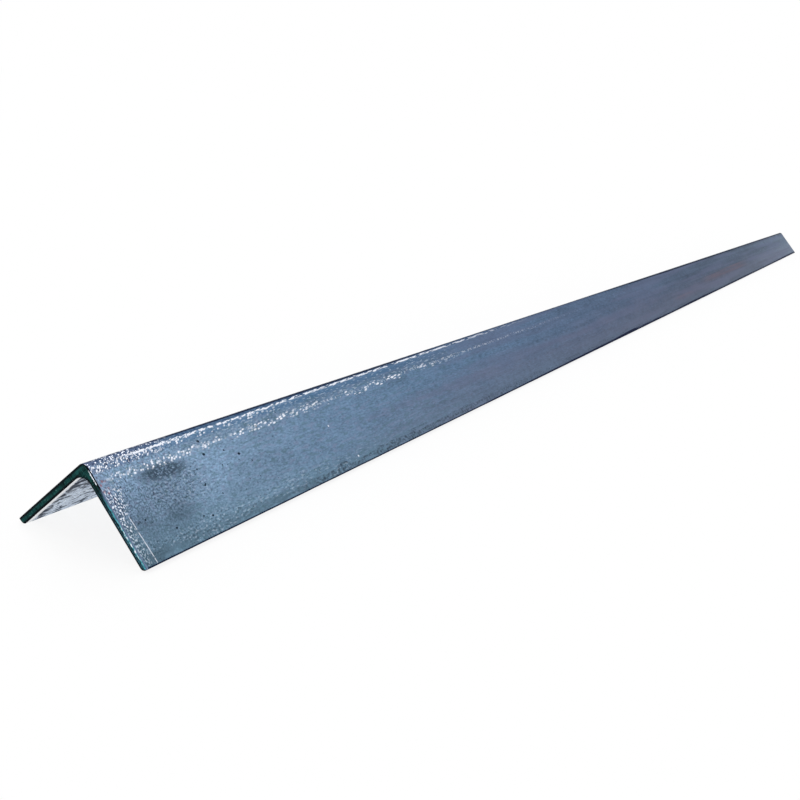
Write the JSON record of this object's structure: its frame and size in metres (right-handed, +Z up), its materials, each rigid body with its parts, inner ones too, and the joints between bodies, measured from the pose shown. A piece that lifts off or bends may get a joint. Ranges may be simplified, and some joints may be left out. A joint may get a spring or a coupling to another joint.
{
  "type": "equal-leg steel angle section",
  "caption": "Straight hot-rolled steel angle bar with equal legs, a root fillet, rounded inner toe corners and square sawn ends, lying heel up.",
  "frame": {"origin": "on the ground plane, halfway along the bar, straight below the heel", "axes": "+X along the bar, from the sawn end shown near to the far one; +Y across it, towards the leg that is turned away; +Z up, through the heel"},
  "size_m": [1.5, 0.0566, 0.0283],
  "materials": {
    "mill_scale_steel": "hot-rolled steel under blue-grey mill scale, satin and finely grained, with bare dark sawn ends"
  },
  "bodies": {
    "root": {"angle_bar": "mill_scale_steel"}
  },
  "joints": []
}
